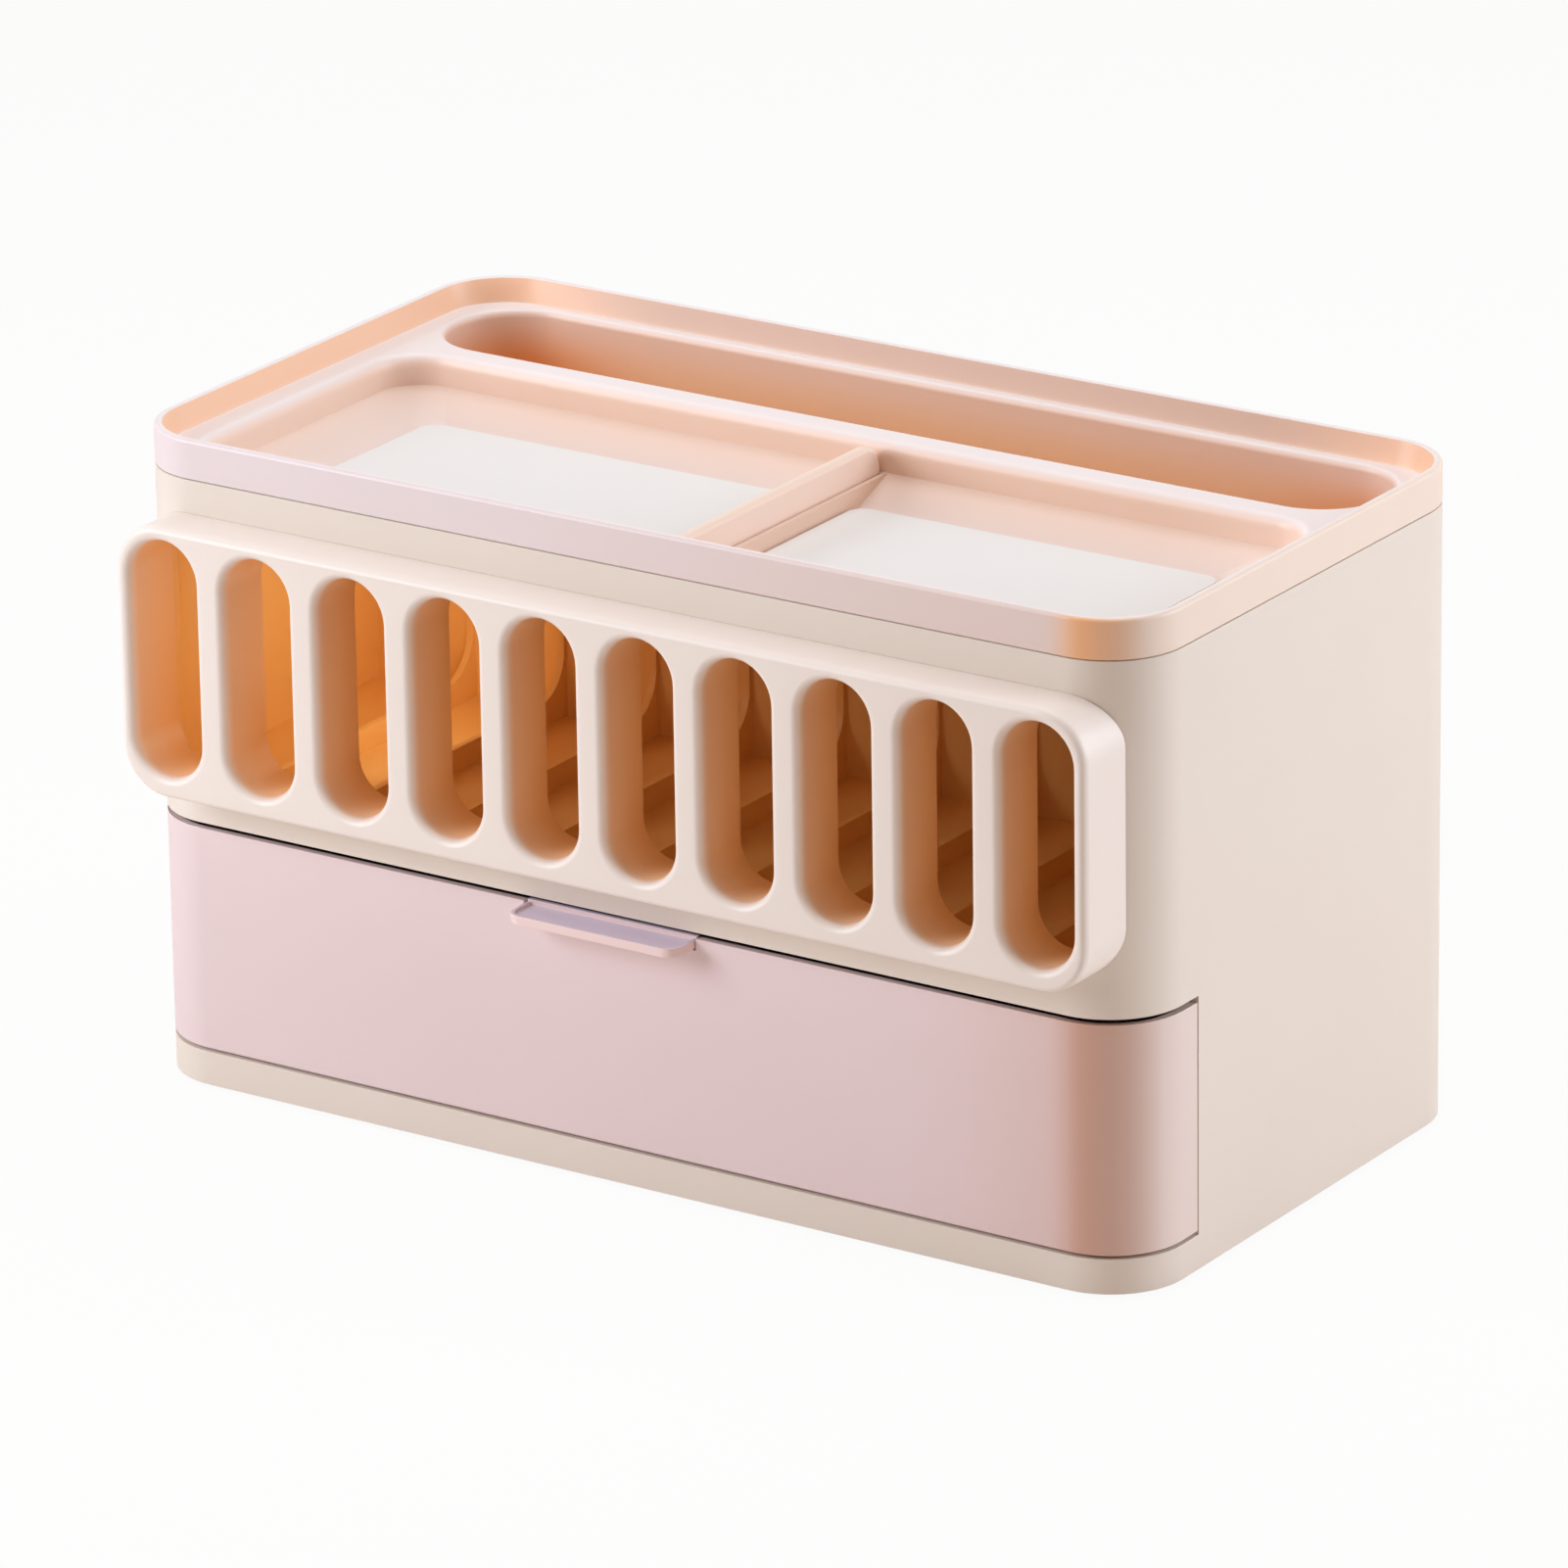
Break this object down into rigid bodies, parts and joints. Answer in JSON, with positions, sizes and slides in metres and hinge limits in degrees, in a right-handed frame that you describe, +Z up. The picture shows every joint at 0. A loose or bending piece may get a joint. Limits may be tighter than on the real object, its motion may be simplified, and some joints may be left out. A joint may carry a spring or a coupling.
{
  "type": "desk storage box",
  "caption": "Desk storage box with a front rack of upright pen slots, a pull-out drawer and a lift-off top tray with a divided dish and a deep rear tub.",
  "frame": {"origin": "on the table, under the middle of the whole box's bounding box", "axes": "+X to the right along the long side, +Y to the rear, +Z up; the drawer and the pen slots look towards -Y"},
  "size_m": [0.25, 0.1434, 0.1457],
  "materials": {
    "cream_plastic": "satin moulded",
    "rack_plastic": "satin moulded",
    "caramel_plastic": "satin moulded",
    "pink_plastic": "satin moulded",
    "divider_plastic": "satin moulded",
    "blush_plastic": "satin moulded",
    "tab_plastic": "satin moulded",
    "white_mat": "fine matt",
    "foot_rubber": "matt",
    "screw_steel": "plated"
  },
  "bodies": {
    "housing": {"housing_shell": "cream_plastic", "mid_shelf": "cream_plastic", "bottom_panel": "cream_plastic", "panel_screws": "screw_steel", "pen_rack": "rack_plastic", "lane_floor": "caramel_plastic", "lane_ribs": "caramel_plastic", "lane_back": "caramel_plastic", "lane_side_left": "caramel_plastic", "lane_side_right": "caramel_plastic", "foot_front_left": "foot_rubber", "foot_front_right": "foot_rubber", "foot_rear_left": "foot_rubber", "foot_rear_right": "foot_rubber"},
    "drawer": {"drawer_front": "blush_plastic", "drawer_tub": "blush_plastic", "pull_tab": "tab_plastic"},
    "tray": {"top_tray": "pink_plastic", "mat_left": "white_mat", "mat_right": "white_mat"},
    "divider": {"tray_divider": "divider_plastic"}
  },
  "joints": [
    {"name": "drawer_slide", "type": "slide", "parent": "housing", "child": "drawer", "axis": [0, -1, 0], "range_m": [0, 0.095]},
    {"name": "tray_lift", "type": "slide", "parent": "housing", "child": "tray", "axis": [0, 0, 1], "range_m": [0, 0.075]},
    {"name": "divider_lift", "type": "slide", "parent": "tray", "child": "divider", "axis": [0, 0, 1], "range_m": [0, 0.02]}
  ]
}
